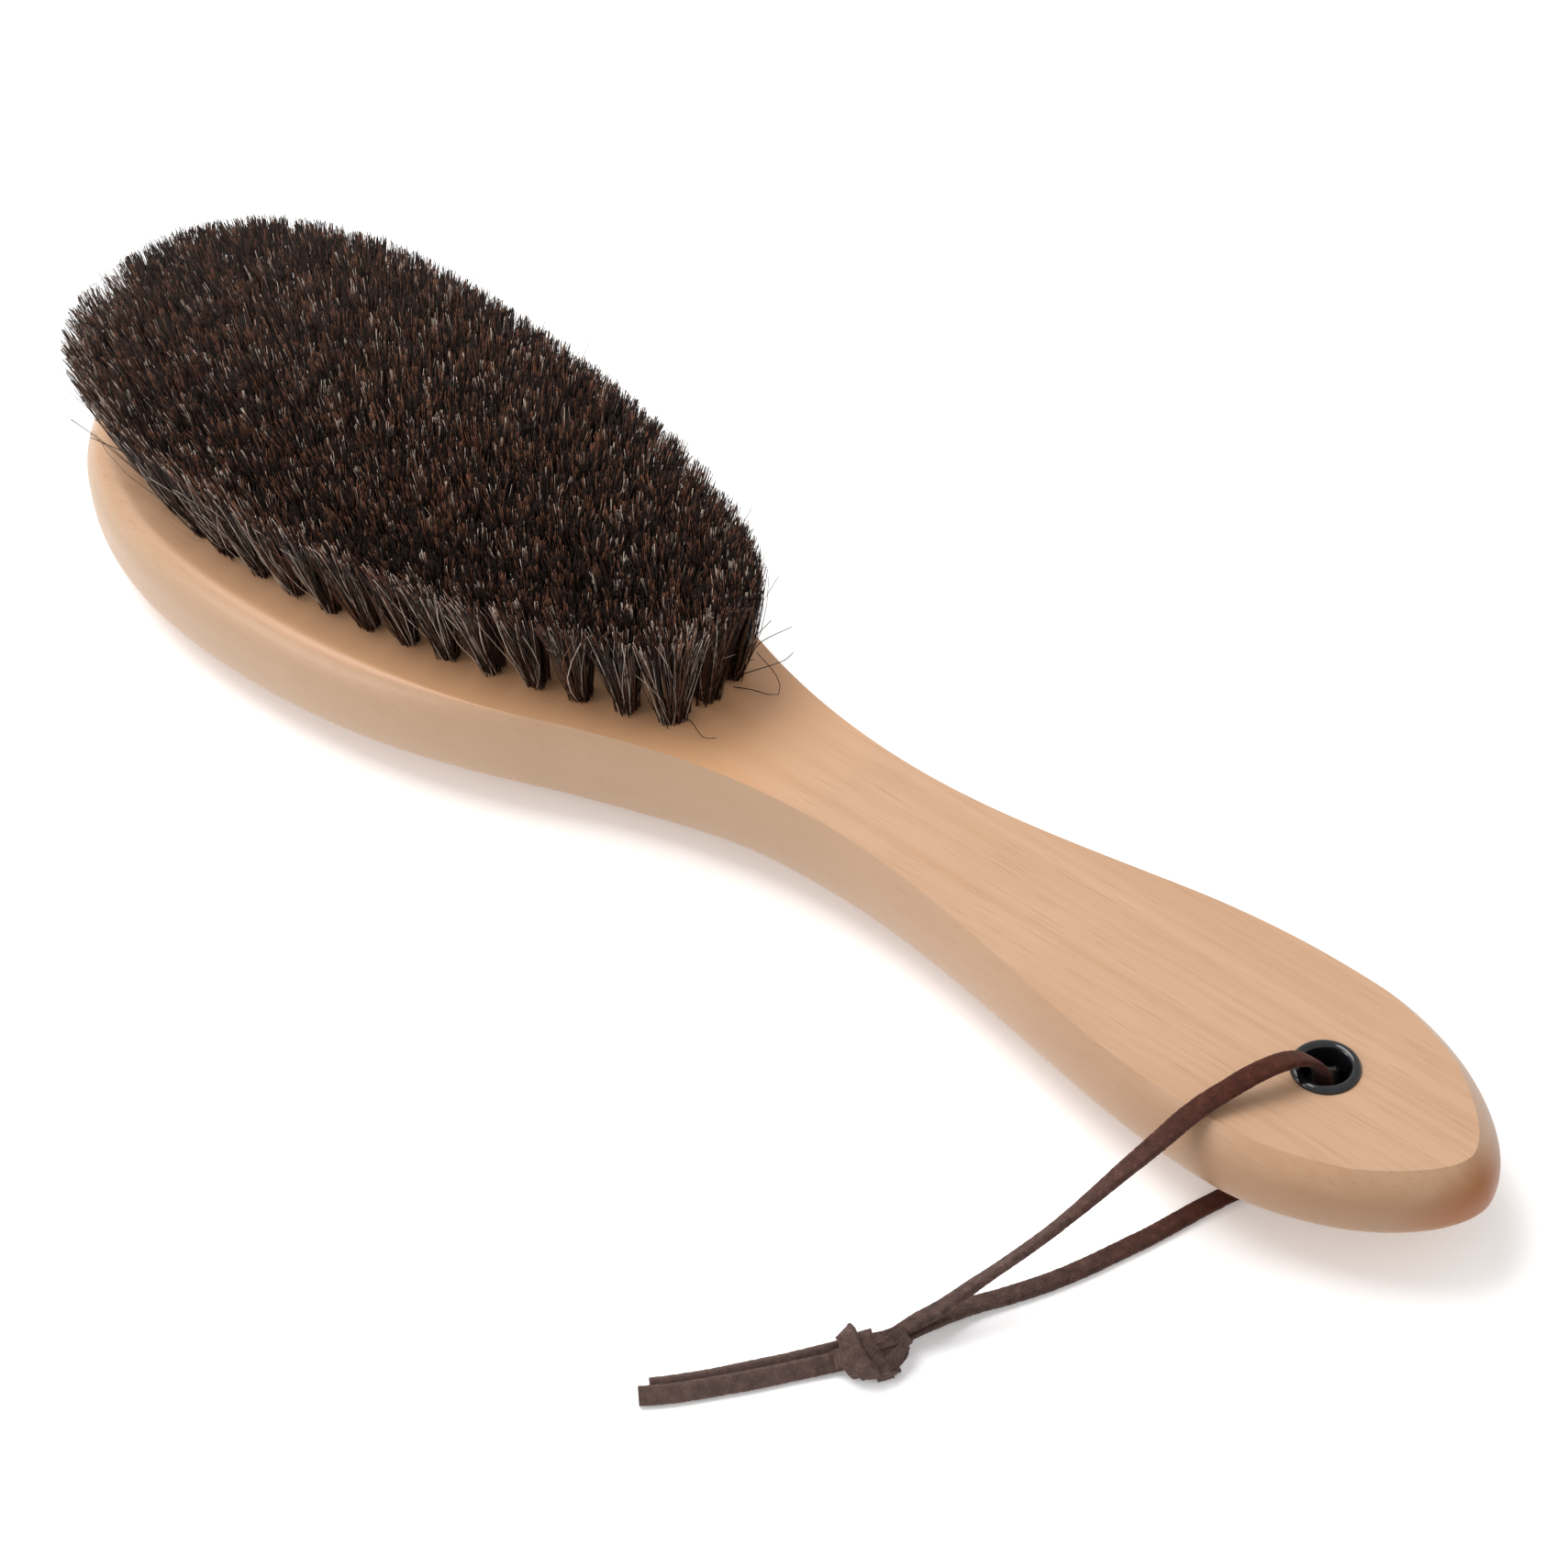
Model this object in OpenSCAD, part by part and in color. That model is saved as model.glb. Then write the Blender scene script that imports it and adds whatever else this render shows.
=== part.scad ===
// Hand clothes brush: a shaped wooden body, rows of horsehair tufts held in
// drilled holes by wire anchors, and a hanging lace through an eyelet in the handle.
// X runs along the brush from the head to the handle, and Z points up out of the bristles.
// The origin is on the flat of the back, under the widest part of the head.

/* [Body] */
// Widest part of the head
head_width = 67; // [62:1:71]
// From the tip of the head to its widest part
head_reach = 55.5; // [53:0.5:60]
// Narrowest part of the neck
neck_width = 20; // [17:1:23]
// From the head's widest part to the neck
neck_x = 105.7; // [99:0.1:112]
// Widest part of the handle
handle_width = 40; // [36:0.2:42]
// From the head's widest part to the handle's widest part
handle_x = 181.7; // [174:0.1:184]
// From the head's widest part to the tip of the handle
tip_x = 212.3; // [209:0.1:222]
// Thickness of the head, from the resting flat to the bristle face
head_thickness = 20; // [19:0.5:22]
// Thickness of the neck and the near half of the handle
neck_thickness = 17.2; // [16.8:0.2:18.4]
// Thickness left at the tip of the handle, where the back curves up
tip_thickness = 12.5; // [12:0.1:13.4]

/* [Bristles] */
// Height of the bristles above the wooden face
bristle_height = 19.5; // [14:0.5:26]
// Distance from one cross row to the next
row_pitch = 7.06; // [6.8:0.02:7.2]
// Radius of a drilled tuft hole
tuft_hole_r = 2; // [1.8:0.1:2.2]
// Depth of a drilled tuft hole
tuft_hole_depth = 9; // [7:0.5:10]
// Widest part of the field of tufts
field_width = 46.4; // [42:0.2:47]

/* [Eyelet] */
// From the head's widest part to the eyelet
eyelet_x = 185; // [183:0.5:187]
// Outer radius of the eyelet's rolled flange
flange_r = 4.9; // [4.7:0.1:5.2]
// Radius of the way through the eyelet
eyelet_bore_r = 3.4; // [3.3:0.1:3.5]
// Length of each eyelet's barrel in the wood
barrel_length = 6.5; // [4:0.5:6.5]

/* [Lace] */
// Width of the flat lace
lace_width = 2.6; // [2.2:0.1:2.8]
// Thickness of the lace
lace_thickness = 1; // [0.8:0.1:1]

/* [Hidden] */
// Cross rows of tufts
row_count = 17;

// Two digits keep the rows in order by name
function row_name(k) = str("tuft_row_", k < 9 ? "0" : "", k + 1);

maple = [0.87, 0.72, 0.56];
horsehair = [0.13, 0.09, 0.08];
steel = [0.7, 0.7, 0.72];
black_enamel = [0.04, 0.04, 0.045];
suede = [0.3, 0.19, 0.16];

// Outline of the body, as seen from above
shoulder_x = 55;
shoulder_half = 22.1;
shoulder_slope = -0.5;
head_roundness = 2.06;
tip_roundness = 1.71;
head_steps = 13;
middle_steps = 36;
tip_steps = 11;
head_centre = -23;
tip_centre = tip_x - 14.3;

// Section of the body, from the bristle face down to the back
edge_drop = 6.4;
head_edge_inset = 4.5;
neck_edge_inset = 1.3;
tip_edge_extra = 2.2;
soft_edge_end = 15;
crisp_edge_start = 70;
tip_edge_start = 150;
tip_edge_end = 197;
head_back_roundness = 3.35;
handle_back_roundness = 2.5;
edge_steps = 5;
back_steps = 9;
back_sweep = 84;
taper_start = 62;
taper_end = 94;
rise_start = 157;
rise_end = 218;
land_skim = 0.4;
face_skim = 0.3;

// Bristle field
first_row_x = -41.5;
field_reach = 44;
field_roundness = 2.2;
field_shoulder_half = 11.9;
field_shoulder_slope = -0.3;
field_end_half = 0.2;
field_end_x = 103;
hole_overshoot = 4;
tuft_pitch = 6.3;
lean_start_x = 22;
head_lean = 11.5;
head_lean_power = 1.6;
head_lean_span = 63.5;
neck_lean = 0.03;
side_lean = 0.2;
tuft_clearance = 0.05;
tuft_top_r = 3.5;
trim_spare = 3;
anchor_width = 1.6;
anchor_wire = 0.5;

// Eyelets
eyelet_wall = 0.4;
seat_depth = 0.3;
seat_clearance = 0.3;
bore_overshoot = 1;

// Number of flat sides on the round features
hole_sides = 24;
eyelet_sides = 48;
roll_sides = 36;

// Lace routes, from the middle of the eyelets outwards
front_route = [
    [185, 0.5, 11.5], [185, 0.5, 15], [184.8, 0, 18], [184.3, -0.9, 20.6], [183.4, -2.4, 22.6],
    [182.4, -4.7, 23.8], [181.2, -7.5, 24], [179.8, -10.5, 23.4], [178.5, -13.5, 22.4],
    [177.4, -16.4, 21.6], [176.4, -19.4, 20.5], [175, -24.2, 18.2], [173.5, -29.3, 15.9],
    [171.9, -34.8, 13.3], [170.2, -40.4, 10.9], [168.3, -45.6, 8.8], [166.4, -50.7, 7],
    [164.6, -55.3, 5.1], [162.8, -59.3, 3.9], [161.6, -62.4, 3.3]
];
back_route = [
    [185, 0.5, 11.5], [185, 0.5, 9], [184.9, 0.3, 6.8], [184.6, -0.4, 4.6], [184, -1.7, 2.8],
    [183.2, -3.6, 1.5], [182.2, -6.1, 0.8], [181, -9, 0.6], [179.6, -12.1, 0.6],
    [177.8, -18, 0.6], [176.1, -24.4, 0.6], [174.2, -30.3, 0.6], [172.3, -35.9, 0.6],
    [170.2, -40.9, 0.6], [167.7, -45.9, 0.7], [165.3, -50.5, 1], [163.6, -55.1, 1.5],
    [162.4, -59.1, 1.9], [161.6, -62.2, 1.9]
];
lower_tail_route = [
    [160.9, -65.4, 2], [158, -69.7, 1.6], [154.5, -74.7, 1.5], [151.4, -79.2, 1.5],
    [147.9, -83.9, 1.5], [144.9, -87.7, 1.5], [142, -90.8, 1.5]
];
upper_tail_route = [
    [159.8, -64.2, 2.4], [157, -68.6, 1.9], [153.5, -73.7, 1.6], [150.4, -78.2, 1.6],
    [147, -82.9, 1.5], [144, -86.7, 1.5], [142.2, -88.8, 1.5]
];

// Way each lace's width points: the legs lie flat and the tails stand tipped back
leg_across = [1, 0, 0];
tail_across = [-0.38, 0.41, 0.83];

knot_at = [161, -65.8, 2.9];
knot_r = 4.7;
knot_edge_r = 2.8;

// Smooth step from 0 at a to 1 at b
function blend(x, a, b) =
    let (t = min(1, max(0, (x - a) / (b - a)))) t * t * (3 - 2 * t);

// Smooth curve from value p at x = a to value q at x = b, with end slopes m and n
function curve(x, a, b, p, q, m, n) =
    let (w = b - a, t = (x - a) / w)
    p * (2 * t ^ 3 - 3 * t ^ 2 + 1) + q * (3 * t ^ 2 - 2 * t ^ 3)
    + w * m * (t ^ 3 - 2 * t ^ 2 + t) + w * n * (t ^ 3 - t ^ 2);

// Half-width of a rounded end, t from 0 at its widest to 1 at its tip
function round_end(t, power) = (1 - t ^ power) ^ (1 / power);

// Half-width of the body at x
function half_width(x) =
    x < 0 ? head_width / 2 * round_end(-x / head_reach, head_roundness)
    : x < shoulder_x ? curve(x, 0, shoulder_x, head_width / 2, shoulder_half, 0, shoulder_slope)
    : x < neck_x ? curve(x, shoulder_x, neck_x, shoulder_half, neck_width / 2, shoulder_slope, 0)
    : x < handle_x ? curve(x, neck_x, handle_x, neck_width / 2, handle_width / 2, 0, 0)
    : handle_width / 2 * round_end((x - handle_x) / (tip_x - handle_x), tip_roundness);

// Points along one side, from the tip of the head to the tip of the handle
head_xs = [for (i = [0 : head_steps - 1]) -head_reach * cos(90 * i / head_steps) ^ (2 / head_roundness)];
middle_xs = [for (i = [0 : middle_steps - 1]) handle_x * i / middle_steps];
tip_xs = [
    for (i = [0 : tip_steps])
        handle_x + (tip_x - handle_x) * sin(90 * i / tip_steps) ^ (2 / tip_roundness)
];
side_xs = concat(head_xs, middle_xs, tip_xs);
side_count = len(side_xs);
outline = concat(
    [for (x = side_xs) [x, half_width(x)]],
    [for (i = [side_count - 2 : -1 : 1]) [side_xs[i], -half_width(side_xs[i])]]
);

// Every point of the outline is drawn in towards this line along the middle
function spine(x) = min(tip_centre, max(head_centre, x));

// 0 where the edge of the face is softly rounded and 1 where it is crisp
function crispness(x) = blend(x, soft_edge_end, crisp_edge_start);

// How far the face's edge is drawn in from the outline
function edge_inset(x) =
    head_edge_inset
    + (neck_edge_inset - head_edge_inset) * crispness(x)
    + tip_edge_extra * blend(x, tip_edge_start, tip_edge_end);

// Share of that inset left part-way down the edge, as turn goes from 0 to 90
function inset_left(x, turn) =
    (1 - sin(turn)) * (1 - crispness(x)) + cos(turn) ^ 2 * crispness(x);

// How full the section is below the edge: 2 is a round back and more is a squarer one
function back_roundness(x) =
    head_back_roundness
    + (handle_back_roundness - head_back_roundness) * blend(x, 0, shoulder_x);

// Thickness along the middle: level under the head, thinner at the neck, rising at the tip
function depth(x) =
    head_thickness + land_skim
    + (neck_thickness - head_thickness - land_skim) * blend(x, taper_start, taper_end)
    + (tip_thickness - neck_thickness) * blend(x, rise_start, rise_end);

// Flat seat that the back eyelet presses against
back_seat_z = head_thickness - depth(eyelet_x + flange_r + seat_clearance) + seat_depth;

// A point drawn in by a distance, then by a share of the way to the spine
function drawn_in(p, distance, share) =
    let (a = [spine(p[0]), 0], r = norm(p - a)) a + (p - a) * max(0, 1 - distance / r) * share;

// Rings of the body from above the face down to the back
edge_rings = [
    for (j = [0 : edge_steps]) let (turn = 90 * j / edge_steps) [
        for (p = outline)
            let (x = spine(p[0]), q = drawn_in(p, edge_inset(x) * inset_left(x, turn), 1))
            [q[0], q[1], head_thickness - edge_drop * (1 - cos(turn))]
    ]
];
back_rings = [
    for (j = [1 : back_steps]) let (turn = back_sweep * j / back_steps) [
        for (p = outline)
            let (
                power = 2 / back_roundness(spine(p[0])),
                q = drawn_in(p, 0, cos(turn) ^ power),
                drop = edge_drop + (depth(q[0]) - edge_drop) * sin(turn) ^ power
            )
            [q[0], q[1], head_thickness - drop]
    ]
];
crown_ring = [for (p = edge_rings[0]) [p[0], p[1], p[2] + face_skim]];
body_rings = concat([crown_ring], edge_rings, back_rings);

// Faces that close one ring of the mirrored outline, side to side
function cap_faces(first, count, up) = [
    for (i = [0 : count / 2 - 1])
        let (
            a = first + i,
            b = first + i + 1,
            c = first + (count - i - 1) % count,
            d = first + (count - i) % count,
            quad = [a, b, c, d]
        )
        let (face = i == 0 ? [a, b, c] : i == count / 2 - 1 ? [a, b, d] : quad)
        up ? face : [for (m = [len(face) - 1 : -1 : 0]) face[m]]
];

// Faces between each ring and the next
function wall_faces(count, rings) = [
    for (j = [0 : rings - 2], i = [0 : count - 1])
        let (a = j * count + i, b = j * count + (i + 1) % count)
        each [[a, a + count, b], [b, a + count, b + count]]
];

module body_shape() {
    count = len(outline);
    last = (len(body_rings) - 1) * count;
    polyhedron(
        points = [for (ring = body_rings) each ring],
        faces = concat(
            cap_faces(0, count, true),
            wall_faces(count, len(body_rings)),
            cap_faces(last, count, false)
        )
    );
}

// Tuft field: half-width of the row at x, and the places of its tufts
function field_half(x) =
    x < 0 ? field_width / 2 * round_end(-x / field_reach, field_roundness)
    : x < shoulder_x
        ? curve(x, 0, shoulder_x, field_width / 2, field_shoulder_half, 0, field_shoulder_slope)
    : curve(x, shoulder_x, field_end_x, field_shoulder_half, field_end_half, field_shoulder_slope, 0);
function row_x(k) = first_row_x + k * row_pitch;
function row_places(k) =
    let (x = row_x(k), half = field_half(x), gaps = floor(2 * half / tuft_pitch))
    [for (i = [0 : gaps]) [x, half * (2 * i / gaps - 1)]];

// How far a tuft's top leans out from its hole
function lean(p) = [
    p[0] < lean_start_x
        ? -head_lean * ((lean_start_x - p[0]) / head_lean_span) ^ head_lean_power
        : (p[0] - lean_start_x) * neck_lean,
    p[1] * side_lean
];

// Puts a shape that stands along Z into the tuft's place, leaning its way
module at_tuft(p) {
    out = lean(p);
    tilt = atan2(norm(out), bristle_height);
    translate([p[0], p[1], head_thickness])
        rotate([0, 0, atan2(out[1], out[0])])
        rotate([0, tilt, 0])
        rotate([0, 0, -atan2(out[1], out[0])])
        children();
}

module tuft_hole(p) {
    at_tuft(p)
        translate([0, 0, -tuft_hole_depth])
        cylinder(h = tuft_hole_depth + hole_overshoot, r = tuft_hole_r, $fn = hole_sides);
}

// Flat wire that the tuft is folded over at the bottom of its hole
module anchor(p) {
    at_tuft(p)
        translate([0, 0, -tuft_hole_depth + anchor_width / 2])
        cube([anchor_wire, 2 * (tuft_hole_r - tuft_clearance), anchor_width], center = true);
}

module tuft(p) {
    difference() {
        at_tuft(p) {
            translate([0, 0, -tuft_hole_depth])
                cylinder(h = tuft_hole_depth, r = tuft_hole_r - tuft_clearance, $fn = hole_sides);
            cylinder(
                h = norm([lean(p)[0], lean(p)[1], bristle_height]) + trim_spare,
                r1 = tuft_hole_r - tuft_clearance,
                r2 = tuft_top_r,
                $fn = hole_sides
            );
        }
        anchor(p);
    }
}

// One cross row, trimmed flat along the top
module tuft_row(k) {
    size = 2 * head_width;
    color(horsehair)
        difference() {
            for (p = row_places(k)) tuft(p);
            translate([row_x(k) - size / 2, -size / 2, head_thickness + bristle_height])
                cube(size);
        }
}

module tuft_anchors() {
    color(steel)
        for (k = [0 : row_count - 1], p = row_places(k)) anchor(p);
}

module wood_body() {
    size = 2 * tip_x;
    color(maple)
        difference() {
            body_shape();
            translate([-size / 2, -size / 2, head_thickness])
                cube([size, size, size]);
            translate([-size / 2, -size / 2, -size])
                cube([size, size, size]);
            translate([eyelet_x, 0, 0])
                cylinder(h = head_thickness, r = eyelet_bore_r + eyelet_wall, $fn = eyelet_sides);
            translate([eyelet_x, 0, 0])
                cylinder(h = back_seat_z, r = flange_r + seat_clearance, $fn = eyelet_sides);
            for (k = [0 : row_count - 1], p = row_places(k)) tuft_hole(p);
        }
}

// Rolled flange on a short barrel, standing on Z = 0 with its barrel pointing down
module eyelet() {
    color(black_enamel) {
        difference() {
            translate([0, 0, -barrel_length])
                cylinder(h = barrel_length, r = eyelet_bore_r + eyelet_wall, $fn = eyelet_sides);
            translate([0, 0, -barrel_length - bore_overshoot])
                cylinder(h = barrel_length + 2 * bore_overshoot, r = eyelet_bore_r, $fn = eyelet_sides);
        }
        rotate_extrude($fn = eyelet_sides)
            intersection() {
                translate([(eyelet_bore_r + flange_r) / 2, 0])
                    circle(r = (flange_r - eyelet_bore_r) / 2, $fn = roll_sides);
                translate([eyelet_bore_r, 0])
                    square([flange_r - eyelet_bore_r, flange_r]);
            }
    }
}

module eyelet_front() {
    translate([eyelet_x, 0, head_thickness])
        eyelet();
}

module eyelet_back() {
    translate([eyelet_x, 0, back_seat_z])
        mirror([0, 0, 1])
        eyelet();
}

// Flat lace swept along a route, one ring at each of its points
lace_section = [
    [0.5, -0.28], [0.5, 0.28], [0.37, 0.5], [-0.37, 0.5],
    [-0.5, 0.28], [-0.5, -0.28], [-0.37, -0.5], [0.37, -0.5]
];
function unit(v) = v / norm(v);
function heading(route, i) = unit(route[min(i + 1, len(route) - 1)] - route[max(i - 1, 0)]);
function lace_ring(route, way, i) =
    let (
        t = heading(route, i),
        across = unit(way - (way * t) * t),
        out = cross(t, across)
    )
    [for (s = lace_section) route[i] + s[0] * lace_width * across + s[1] * lace_thickness * out];

module lace(route, way) {
    sides = len(lace_section);
    last = (len(route) - 1) * sides;
    color(suede)
        polyhedron(
            points = [for (i = [0 : len(route) - 1]) each lace_ring(route, way, i)],
            faces = concat(
                [[for (i = [0 : sides - 1]) i]],
                wall_faces(sides, len(route)),
                [[for (i = [sides - 1 : -1 : 0]) last + i]]
            )
        );
}

module lace_knot() {
    color(suede)
        translate(knot_at)
        rotate_extrude($fn = eyelet_sides)
            intersection() {
                union() {
                    translate([knot_r - knot_edge_r, 0])
                        circle(r = knot_edge_r, $fn = roll_sides);
                    translate([0, -knot_edge_r])
                        square([knot_r - knot_edge_r, 2 * knot_edge_r]);
                }
                translate([0, -knot_edge_r])
                    square([knot_r, 2 * knot_edge_r]);
            }
}

wood_body();
for (k = [0 : row_count - 1])
    tuft_row(k);
tuft_anchors();
eyelet_front();
eyelet_back();
lace(front_route, leg_across);  // lace_front_leg
lace(back_route, leg_across);  // lace_back_leg
lace_knot();
lace(lower_tail_route, tail_across);  // lace_tail_lower
lace(upper_tail_route, tail_across);  // lace_tail_upper
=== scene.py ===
import math

import bmesh
import bpy
import numpy as np
from mathutils import Matrix, Vector


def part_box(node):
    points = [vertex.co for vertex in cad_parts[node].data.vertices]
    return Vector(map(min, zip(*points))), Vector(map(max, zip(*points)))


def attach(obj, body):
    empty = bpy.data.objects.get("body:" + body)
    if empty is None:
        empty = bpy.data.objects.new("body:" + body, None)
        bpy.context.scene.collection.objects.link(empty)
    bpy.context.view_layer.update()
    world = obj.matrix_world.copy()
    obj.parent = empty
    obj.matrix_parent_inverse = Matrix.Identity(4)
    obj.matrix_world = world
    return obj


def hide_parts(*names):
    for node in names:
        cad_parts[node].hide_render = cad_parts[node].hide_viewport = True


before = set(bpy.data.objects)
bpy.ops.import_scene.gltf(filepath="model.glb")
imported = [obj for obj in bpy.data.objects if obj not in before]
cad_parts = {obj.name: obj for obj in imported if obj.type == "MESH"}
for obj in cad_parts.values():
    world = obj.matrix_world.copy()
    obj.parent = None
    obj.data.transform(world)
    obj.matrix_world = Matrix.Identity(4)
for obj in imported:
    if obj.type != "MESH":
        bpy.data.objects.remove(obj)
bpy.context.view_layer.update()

MM = 0.001
rng = np.random.RandomState(7)

# ---------------------------------------------------------------- driving sizes, in millimetres
# The outer sizes come from the frame, and the rest repeat the design's own values.
body_low, body_high = (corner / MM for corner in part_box("wood_body"))
HEAD_REACH = -body_low.x
HEAD_HALF = body_high.y
TIP_X = body_high.x
FACE_Z = body_high.z
eyelet_low, eyelet_high = (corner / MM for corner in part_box("eyelet_front"))
EYELET_X = (eyelet_low.x + eyelet_high.x) / 2
FLANGE_R = (eyelet_high.x - eyelet_low.x) / 2
BORE_R = 3.4
BARREL_LENGTH = 6.5
EYELET_WALL = 0.4
BACK_SEAT_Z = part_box("eyelet_back")[1].z / MM - BARREL_LENGTH

NECK_X, NECK_HALF = 105.7, 10.0
HANDLE_X, HANDLE_HALF = 181.7, 20.0
SHOULDER_X, SHOULDER_HALF, SHOULDER_SLOPE = 55.0, 22.1, -0.5
HEAD_ROUNDNESS, TIP_ROUNDNESS = 2.06, 1.71
HEAD_CENTRE, TIP_CENTRE = -23.0, 198.0
NECK_THICKNESS, TIP_THICKNESS = 17.2, 12.5
EDGE_DROP, HEAD_EDGE, NECK_EDGE, TIP_EDGE_EXTRA = 6.4, 4.5, 1.3, 2.2
SOFT_EDGE_END, CRISP_EDGE_START = 15.0, 70.0
TIP_EDGE_START, TIP_EDGE_END = 150.0, 197.0
TAPER_START, TAPER_END, RISE_START, RISE_END = 62.0, 94.0, 157.0, 218.0
HEAD_BACK, HANDLE_BACK, LAND_SKIM = 3.35, 2.5, 0.4

BRISTLE_HEIGHT = 19.5
ROW_COUNT, ROW_PITCH, FIRST_ROW_X = 17, 7.06, -41.5
FIELD_HALF, FIELD_REACH, FIELD_ROUNDNESS, TUFT_PITCH = 23.2, 44.0, 2.2, 6.3
FIELD_SHOULDER_HALF, FIELD_SHOULDER_SLOPE, FIELD_END_HALF, FIELD_END_X = 11.9, -0.3, 0.2, 103.0
LEAN_START_X, HEAD_LEAN, HEAD_LEAN_POWER, HEAD_LEAN_SPAN = 22.0, 11.5, 1.6, 63.5
NECK_LEAN, SIDE_LEAN = 0.03, 0.2

# Flat suede lace, a little stretched where it leaves the eyelet
LACE_WIDTH, LACE_THICKNESS, STRETCHED_WIDTH = 2.7, 1.2, 3.0
FRONT_ROUTE = [
    (185, 0.5, 11.5), (185, 0.5, 15), (184.8, 0, 18), (184.3, -0.9, 20.6), (183.4, -2.4, 22.6),
    (182.4, -4.7, 23.8), (181.2, -7.5, 24), (179.8, -10.5, 23.4), (178.5, -13.5, 22.4),
    (177.4, -16.4, 21.6), (176.4, -19.4, 20.5), (175, -24.2, 18.2), (173.5, -29.3, 15.9),
    (171.9, -34.8, 13.3), (170.2, -40.4, 10.9), (168.3, -45.6, 8.8), (166.4, -50.7, 7),
    (164.6, -55.3, 5.1), (162.8, -59.3, 3.9), (161.6, -62.4, 3.3),
]
BACK_ROUTE = [
    (185, 0.5, 11.5), (185, 0.5, 9), (184.9, 0.3, 6.8), (184.6, -0.4, 4.6), (184, -1.7, 2.8),
    (183.2, -3.6, 1.5), (182.2, -6.1, 0.8), (181, -9, 0.6), (179.6, -12.1, 0.6),
    (177.8, -18, 0.6), (176.1, -24.4, 0.6), (174.2, -30.3, 0.6), (172.3, -35.9, 0.6),
    (170.2, -40.9, 0.6), (167.7, -45.9, 0.7), (165.3, -50.5, 1), (163.6, -55.1, 1.5),
    (162.4, -59.1, 1.9), (161.6, -62.2, 1.9),
]
LOWER_TAIL_ROUTE = [
    (160.9, -65.4, 2), (158, -69.7, 1.6), (154.5, -74.7, 1.5), (151.4, -79.2, 1.5),
    (147.9, -83.9, 1.5), (144.9, -87.7, 1.5), (142, -90.8, 1.5),
]
UPPER_TAIL_ROUTE = [
    (159.8, -64.2, 2.4), (157, -68.6, 1.9), (153.5, -73.7, 1.6), (150.4, -78.2, 1.6),
    (147, -82.9, 1.5), (144, -86.7, 1.5), (142.2, -88.8, 1.5),
]
FLAT_WAY = (1, 0, 0)
EDGE_WAY = (0.75, -0.2, 0.63)
HALF_WAY = (0.95, 0, 0.2)
TAIL_WAY = (-0.38, 0.41, 0.83)


# ---------------------------------------------------------------- helpers
def new_object(name, mesh, *materials):
    """Object of a mesh, linked to the scene, with its materials."""
    obj = bpy.data.objects.new(name, mesh)
    bpy.context.scene.collection.objects.link(obj)
    for material in materials:
        mesh.materials.append(material)
    return obj


def mesh_from(name, points, faces):
    """Smooth-shaded mesh from points in millimetres."""
    mesh = bpy.data.meshes.new(name)
    mesh.from_pydata([tuple(p) for p in np.asarray(points) * MM], [], faces)
    mesh.validate()
    mesh.update()
    mesh.polygons.foreach_set("use_smooth", [True] * len(mesh.polygons))
    return mesh


def smooth_route(points, steps):
    """Catmull-Rom curve through the route's points."""
    p = [np.array(q, float) for q in points]
    p = [2 * p[0] - p[1]] + p + [2 * p[-1] - p[-2]]
    out = []
    for i in range(1, len(p) - 2):
        for k in range(steps):
            t = k / steps
            a = 2 * p[i]
            b = p[i + 1] - p[i - 1]
            c = 2 * p[i - 1] - 5 * p[i] + 4 * p[i + 1] - p[i + 2]
            d = 3 * p[i] - p[i - 1] - 3 * p[i + 1] + p[i + 2]
            out.append(0.5 * (a + b * t + c * t * t + d * t ** 3))
    out.append(p[-2])
    return np.array(out)


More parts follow.
